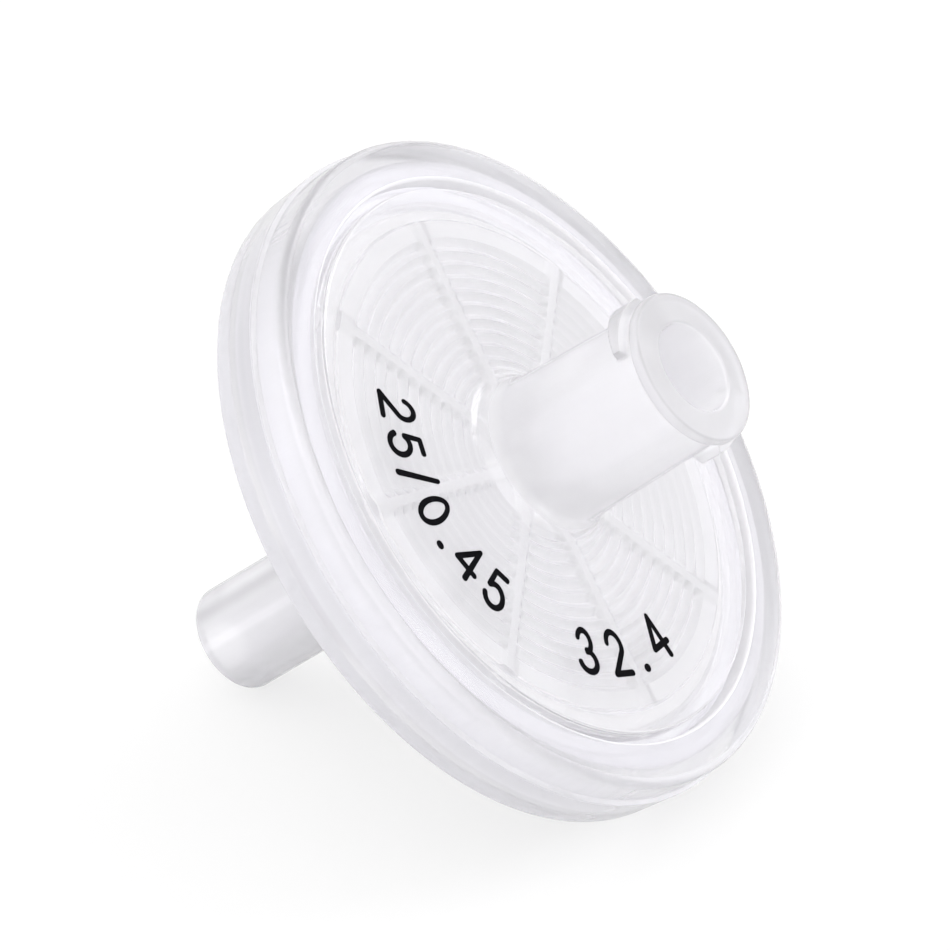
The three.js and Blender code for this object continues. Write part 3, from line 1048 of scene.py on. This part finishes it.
class FILTER_OT_studio(bpy.types.Operator):
    """Set up the pale floor, the soft lamps, the white surroundings and the camera"""
    bl_idname = "disc_filter.studio"
    bl_label = "Studio"

    def execute(self, context):
        scene = context.scene
        studio, ring = settings("studio", "ring")
        scene.view_settings.view_transform = "Standard"
        surround(scene, studio)
        add_floor(studio)
        add_lamps(studio)
        add_camera(scene, studio, ring)
        return {"FINISHED"}


def weld_centre(piece):
    """Joins the points of a disc that meet on its axis."""
    work = bmesh.new()
    work.from_mesh(piece.data)
    bmesh.ops.remove_doubles(work, verts=work.verts, dist=1e-7)
    work.to_mesh(piece.data)
    work.free()


def add_floor(studio):
    half = 0.9
    corners = [(x * half, y * half, 0) for x, y in ((-1, -1), (1, -1), (1, 1), (-1, 1))]
    mesh = bpy.data.meshes.new("floor")
    mesh.from_pydata(corners, [], [(0, 1, 2, 3)])
    mesh.materials.append(floor_paint("floor_paint", studio))
    add_object("floor", mesh)


def add_lamps(studio):
    """Two round soft lamps aimed at the filter's middle."""
    target = Vector((0, 0, 0.012))
    for name, place, width, power, tint in (
            ("key", (-0.3, 0.12, 0.42), studio.key_width, studio.key_power, (1, 0.99, 0.98)),
            ("fill", (0.2, 0.32, 0.42), studio.fill_width, studio.fill_power, (0.98, 0.98, 1))):
        light = bpy.data.lights.new(name, "AREA")
        light.shape, light.size, light.energy, light.color = "DISK", width, power, tint
        lamp = add_object(name, light)
        lamp.location = place
        lamp.rotation_euler = (lamp.location - target).to_track_quat("Z", "Y").to_euler()


def add_camera(scene, studio, ring):
    target = placement() @ Vector((0, 0, ring.height * studio.look_level))
    turn, rise = studio.azimuth, studio.elevation
    away = Vector((math.cos(rise) * math.cos(turn), math.cos(rise) * math.sin(turn),
                   math.sin(rise)))
    right = Vector((-math.sin(turn), math.cos(turn), 0))
    data = bpy.data.cameras.new("camera")
    data.sensor_width, data.lens = 36, studio.lens
    data.clip_start, data.clip_end = 0.01, 10
    scene.camera = camera = add_object("camera", data)
    camera.location = (target + away * studio.distance - right * studio.aside
                       - away.cross(right) * studio.below)
    camera.rotation_euler = away.to_track_quat("Z", "Y").to_euler()


class FILTER_PT_panel(bpy.types.Panel):
    """Lists the filter's pieces"""
    bl_idname = "FILTER_PT_panel"
    bl_label = "Disc filter"
    bl_space_type = "VIEW_3D"
    bl_region_type = "UI"
    bl_category = "Filter"

    def draw(self, context):
        for operator in OPERATORS:
            self.layout.operator(operator.bl_idname)


# Each group by its name in the scene, such as filter_ring
GROUPS = {group.__name__.replace("Filter", "filter_").lower(): group for group in (
    FilterRing, FilterHousing, FilterSocket, FilterSpout, FilterDiscs, FilterPrint,
    FilterFinish, FilterStudio)}
OPERATORS = (FILTER_OT_studio, FILTER_OT_outlet, FILTER_OT_discs, FILTER_OT_inlet,
             FILTER_OT_ring, FILTER_OT_figures)


def register():
    for name, group in GROUPS.items():
        bpy.utils.register_class(group)
        setattr(bpy.types.Scene, name, PointerProperty(type=group))
    for each in (*OPERATORS, FILTER_PT_panel):
        bpy.utils.register_class(each)


def unregister():
    for each in (*reversed(OPERATORS), FILTER_PT_panel):
        bpy.utils.unregister_class(each)
    for name, group in GROUPS.items():
        delattr(bpy.types.Scene, name)
        bpy.utils.unregister_class(group)


def main():
    register()
    for operator in OPERATORS:
        group, name = operator.bl_idname.split(".")
        getattr(getattr(bpy.ops, group), name)()


if __name__ == "__main__":
    main()
